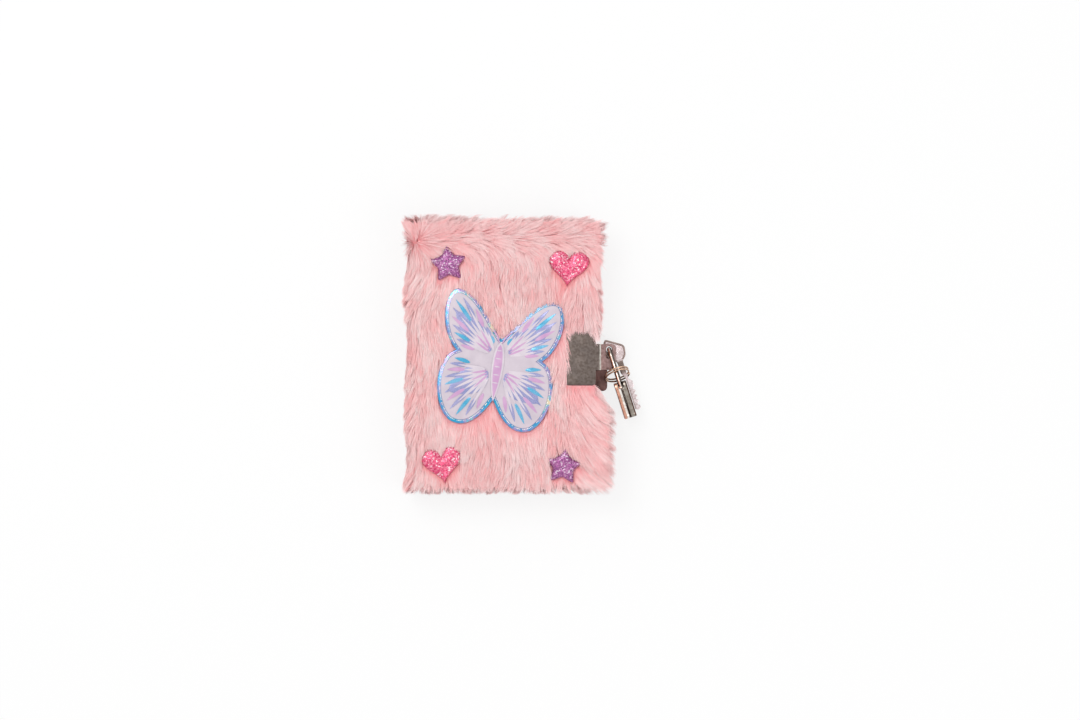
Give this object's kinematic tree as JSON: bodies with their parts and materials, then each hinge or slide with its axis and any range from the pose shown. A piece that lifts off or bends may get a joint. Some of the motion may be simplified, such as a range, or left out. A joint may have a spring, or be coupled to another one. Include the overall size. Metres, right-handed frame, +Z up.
{
  "type": "plush journal",
  "caption": "Hard-cover journal in long faux fur with padded appliqués, a sheet metal clip on the fore-edge and a hanging padlock with its key.",
  "frame": {"origin": "middle of the closed journal's plan, on the face of the back cover that it lies on", "axes": "+X to the fore-edge, +Y to the head, +Z up out of the front cover"},
  "size_m": [0.1306, 0.148, 0.0325],
  "materials": {
    "fur": "long brushed pile, pale pink",
    "board": "grey board, matte",
    "endpaper": "uncoated, pale pink",
    "paper": "uncoated, ruled",
    "cloth": "open weave glued to the pages",
    "clip_metal": "dull warm grey plating",
    "nickel": "bright nickel plating",
    "purple_glitter": "clear coat over purple glitter",
    "pink_glitter": "clear coat over pink glitter",
    "film": "iridescent film",
    "print": "satin print, pearl white with lilac"
  },
  "bodies": {
    "root": {"back_plush": "fur", "back_board": "board", "back_pastedown": "endpaper", "back_clip": "clip_metal", "back_joint_plush": "fur", "section_6": "paper", "rear_flyleaf": "endpaper", "spine_lining": "cloth"},
    "spine": {"spine_plush": "fur", "spine_board": "board"},
    "front_cover": {"front_plush": "fur", "front_board": "board", "front_pastedown": "endpaper", "front_clip": "clip_metal", "front_joint_plush": "fur", "star_upper": "purple_glitter", "star_lower": "purple_glitter", "heart_upper": "pink_glitter", "heart_lower": "pink_glitter", "patch_film": "film", "patch_print": "print"},
    "leaves_1": {"section_1": "paper", "front_flyleaf": "endpaper"},
    "leaves_2": {"section_2": "paper"},
    "leaves_3": {"section_3": "paper"},
    "leaves_4": {"section_4": "paper"},
    "leaves_5": {"section_5": "paper"},
    "shackle": {"shackle": "nickel"},
    "lock_case": {"lock_case_left": "nickel", "lock_case_right": "nickel", "lock_rivet": "nickel"},
    "lock_bolt": {"lock_bolt": "nickel"},
    "lock_plug": {"lock_plug": "nickel"},
    "key_set": {"key": "nickel", "key_ring": "nickel"}
  },
  "joints": [
    {"name": "spine_fold", "type": "hinge", "parent": "root", "child": "spine", "pos_m": [-0.04732, 0, 0.006], "axis": [0, -1, 0], "range_deg": [0, 90], "deforming": ["back_joint_plush"]},
    {"name": "cover_fold", "type": "hinge", "parent": "spine", "child": "front_cover", "pos_m": [-0.04732, 0, 0.0265], "axis": [0, -1, 0], "range_deg": [0, 90], "deforming": ["front_joint_plush"]},
    {"name": "leaves_1_turn", "type": "hinge", "parent": "root", "child": "leaves_1", "pos_m": [-0.04383, 0, 0.01625], "axis": [0, -1, 0], "range_deg": [0, 180], "deforming": ["spine_lining"]},
    {"name": "leaves_2_turn", "type": "hinge", "parent": "root", "child": "leaves_2", "pos_m": [-0.04383, 0, 0.01625], "axis": [0, -1, 0], "range_deg": [0, 177.3]},
    {"name": "leaves_3_turn", "type": "hinge", "parent": "root", "child": "leaves_3", "pos_m": [-0.04383, 0, 0.01625], "axis": [0, -1, 0], "range_deg": [0, 174.6]},
    {"name": "leaves_4_turn", "type": "hinge", "parent": "root", "child": "leaves_4", "pos_m": [-0.04383, 0, 0.01625], "axis": [0, -1, 0], "range_deg": [0, 7.2]},
    {"name": "leaves_5_turn", "type": "hinge", "parent": "root", "child": "leaves_5", "pos_m": [-0.04383, 0, 0.01625], "axis": [0, -1, 0], "range_deg": [0, 3.6]},
    {"name": "padlock_swing", "type": "hinge", "parent": "front_cover", "child": "shackle", "pos_m": [0.05953, 0.0027, 0.0083], "axis": [0, 0, 1], "range_deg": [-8, 35]},
    {"name": "lock_open", "type": "hinge", "parent": "shackle", "child": "lock_case", "pos_m": [0.06639, -0.01894, 0.0123], "axis": [-0.9532, -0.3024, 0], "range_deg": [0, 38]},
    {"name": "plug_turn", "type": "hinge", "parent": "lock_case", "child": "lock_plug", "pos_m": [0.05953, 0.0027, 0.0083], "axis": [0.3024, -0.9532, 0], "range_deg": [0, 90.01]},
    {"name": "bolt_slide", "type": "slide", "parent": "lock_case", "child": "lock_bolt", "axis": [0, 0, -1], "range_m": [0, 0.0008]},
    {"name": "key_swing", "type": "hinge", "parent": "shackle", "child": "key_set", "pos_m": [0.05953, 0.0027, 0.0083], "axis": [0, 0, 1], "range_deg": [0, 3]}
  ],
  "couplings": [
    {"joint": "cover_fold", "follows": "spine_fold", "ratio": 1},
    {"joint": "leaves_1_turn", "follows": "spine_fold", "ratio": 2},
    {"joint": "leaves_2_turn", "follows": "spine_fold", "ratio": 1.97},
    {"joint": "leaves_3_turn", "follows": "spine_fold", "ratio": 1.94},
    {"joint": "leaves_4_turn", "follows": "spine_fold", "ratio": 0.08},
    {"joint": "leaves_5_turn", "follows": "spine_fold", "ratio": 0.04},
    {"joint": "plug_turn", "follows": "bolt_slide", "rad_per_m": 1963.5}
  ]
}
